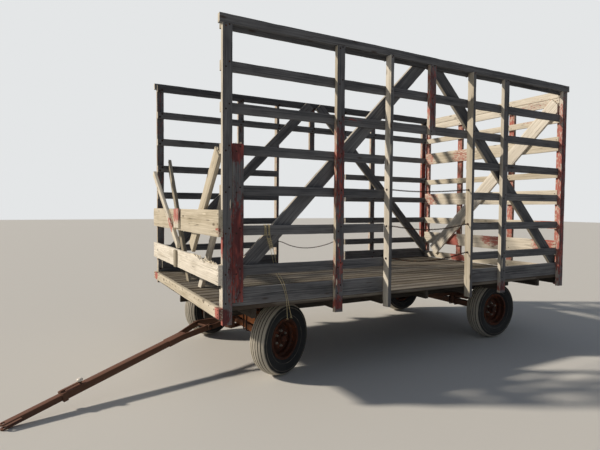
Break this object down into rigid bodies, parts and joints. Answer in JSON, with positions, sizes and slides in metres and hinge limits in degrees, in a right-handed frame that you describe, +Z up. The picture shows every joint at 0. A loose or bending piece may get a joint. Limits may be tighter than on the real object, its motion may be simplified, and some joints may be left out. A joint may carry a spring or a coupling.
{
  "type": "hay wagon",
  "caption": "Four-wheel farm wagon with a plank deck, tall slatted wooden side and rear racks with open side doors, a low broken front rack, steered front axle and telescoping tongue.",
  "frame": {"origin": "centre of the deck's upper face", "axes": "+X forward to the tongue, +Y to the wagon's left, +Z up"},
  "size_m": [6.5106, 2.76, 3.347],
  "materials": {
    "tyre_rubber": "dusty worn rubber",
    "rim_paint": "rusted old paint",
    "chain_steel": "rusty",
    "twine_fibre": "frayed baler twine",
    "deck_wood": "worn planks",
    "post_wood": "weathered, traces of red paint",
    "sunned_wood": "weathered pale",
    "rack_wood": "weathered grey",
    "tongue_steel": "rusty",
    "gear_steel": "rusty"
  },
  "bodies": {
    "wagon": {"cross_sills": "deck_wood", "deck_planks": "deck_wood", "front_axle_beam": "gear_steel", "front_bolster": "gear_steel", "front_braces": "sunned_wood", "front_end_board": "sunned_wood", "front_lower_board": "sunned_wood", "front_twine": "twine_fibre", "front_upper_board": "sunned_wood", "left_braces": "rack_wood", "left_cap": "rack_wood", "left_posts": "post_wood", "left_rails": "rack_wood", "left_side_boards": "rack_wood", "lower_chain": "chain_steel", "main_sills": "deck_wood", "middle_chain": "chain_steel", "reach": "gear_steel", "rear_axle_beam": "gear_steel", "rear_boards": "sunned_wood", "rear_bolster": "gear_steel", "rear_brace": "sunned_wood", "rear_hounds": "gear_steel", "rear_posts": "post_wood", "rear_twine": "twine_fibre", "right_braces": "rack_wood", "right_cap": "rack_wood", "right_chain": "chain_steel", "right_posts": "post_wood", "right_rails": "rack_wood", "right_side_boards": "rack_wood", "upper_chain": "chain_steel"},
    "front_left_wheel": {"front_left_rim": "rim_paint", "front_left_tyre": "tyre_rubber"},
    "front_right_wheel": {"front_right_rim": "rim_paint", "front_right_tyre": "tyre_rubber"},
    "left_knuckle": {"left_knuckle": "gear_steel"},
    "left_tie_rod": {"left_tie_rod": "gear_steel"},
    "rear_left_wheel": {"rear_left_rim": "rim_paint", "rear_left_tyre": "tyre_rubber"},
    "rear_right_wheel": {"rear_right_rim": "rim_paint", "rear_right_tyre": "tyre_rubber"},
    "right_knuckle": {"right_knuckle": "gear_steel"},
    "right_tie_rod": {"right_tie_rod": "gear_steel"},
    "steering_yoke": {"steering_yoke": "tongue_steel"},
    "tongue": {"tongue_bar": "tongue_steel"},
    "tongue_extension": {"tongue_extension": "tongue_steel"}
  },
  "joints": [
    {"name": "yoke_steer", "type": "hinge", "parent": "wagon", "child": "steering_yoke", "pos_m": [1.715, 0, -0.458], "axis": [0, 0, 1], "range_deg": [-64, 16]},
    {"name": "left_knuckle_steer", "type": "hinge", "parent": "wagon", "child": "left_knuckle", "pos_m": [1.715, 0.72, -0.458], "axis": [0, 0, 1], "range_deg": [-64, 16]},
    {"name": "left_tie_rod_swing", "type": "hinge", "parent": "steering_yoke", "child": "left_tie_rod", "pos_m": [1.5597, -0.06914, -0.53], "axis": [0, 0, 1], "range_deg": [-16, 64]},
    {"name": "right_knuckle_steer", "type": "hinge", "parent": "wagon", "child": "right_knuckle", "pos_m": [1.715, -0.72, -0.458], "axis": [0, 0, 1], "range_deg": [-64, 16]},
    {"name": "right_tie_rod_swing", "type": "hinge", "parent": "steering_yoke", "child": "right_tie_rod", "pos_m": [1.5597, -0.06914, -0.53], "axis": [0, 0, 1], "range_deg": [-16, 64]},
    {"name": "tongue_lift", "type": "hinge", "parent": "steering_yoke", "child": "tongue", "pos_m": [2.24029, 0.23387, -0.41], "axis": [0.4067, -0.9135, 0], "range_deg": [0, 30]},
    {"name": "tongue_slide", "type": "slide", "parent": "tongue", "child": "tongue_extension", "axis": [0.896, 0.3989, -0.1951], "range_m": [-0.28, 0]},
    {"name": "front_left_wheel_spin", "type": "hinge", "parent": "left_knuckle", "child": "front_left_wheel", "pos_m": [1.63365, 0.90271, -0.458], "axis": [-0.4067, 0.9135, 0], "continuous": true},
    {"name": "front_right_wheel_spin", "type": "hinge", "parent": "right_knuckle", "child": "front_right_wheel", "pos_m": [1.79635, -0.90271, -0.458], "axis": [-0.4067, 0.9135, 0], "continuous": true},
    {"name": "rear_left_wheel_spin", "type": "hinge", "parent": "wagon", "child": "rear_left_wheel", "pos_m": [-1.5, 0.92, -0.458], "axis": [0, 1, 0], "continuous": true},
    {"name": "rear_right_wheel_spin", "type": "hinge", "parent": "wagon", "child": "rear_right_wheel", "pos_m": [-1.5, -0.92, -0.458], "axis": [0, 1, 0], "continuous": true}
  ],
  "couplings": [
    {"joint": "left_knuckle_steer", "follows": "yoke_steer", "ratio": 1},
    {"joint": "right_knuckle_steer", "follows": "yoke_steer", "ratio": 1},
    {"joint": "left_tie_rod_swing", "follows": "yoke_steer", "ratio": -1},
    {"joint": "right_tie_rod_swing", "follows": "yoke_steer", "ratio": -1}
  ]
}
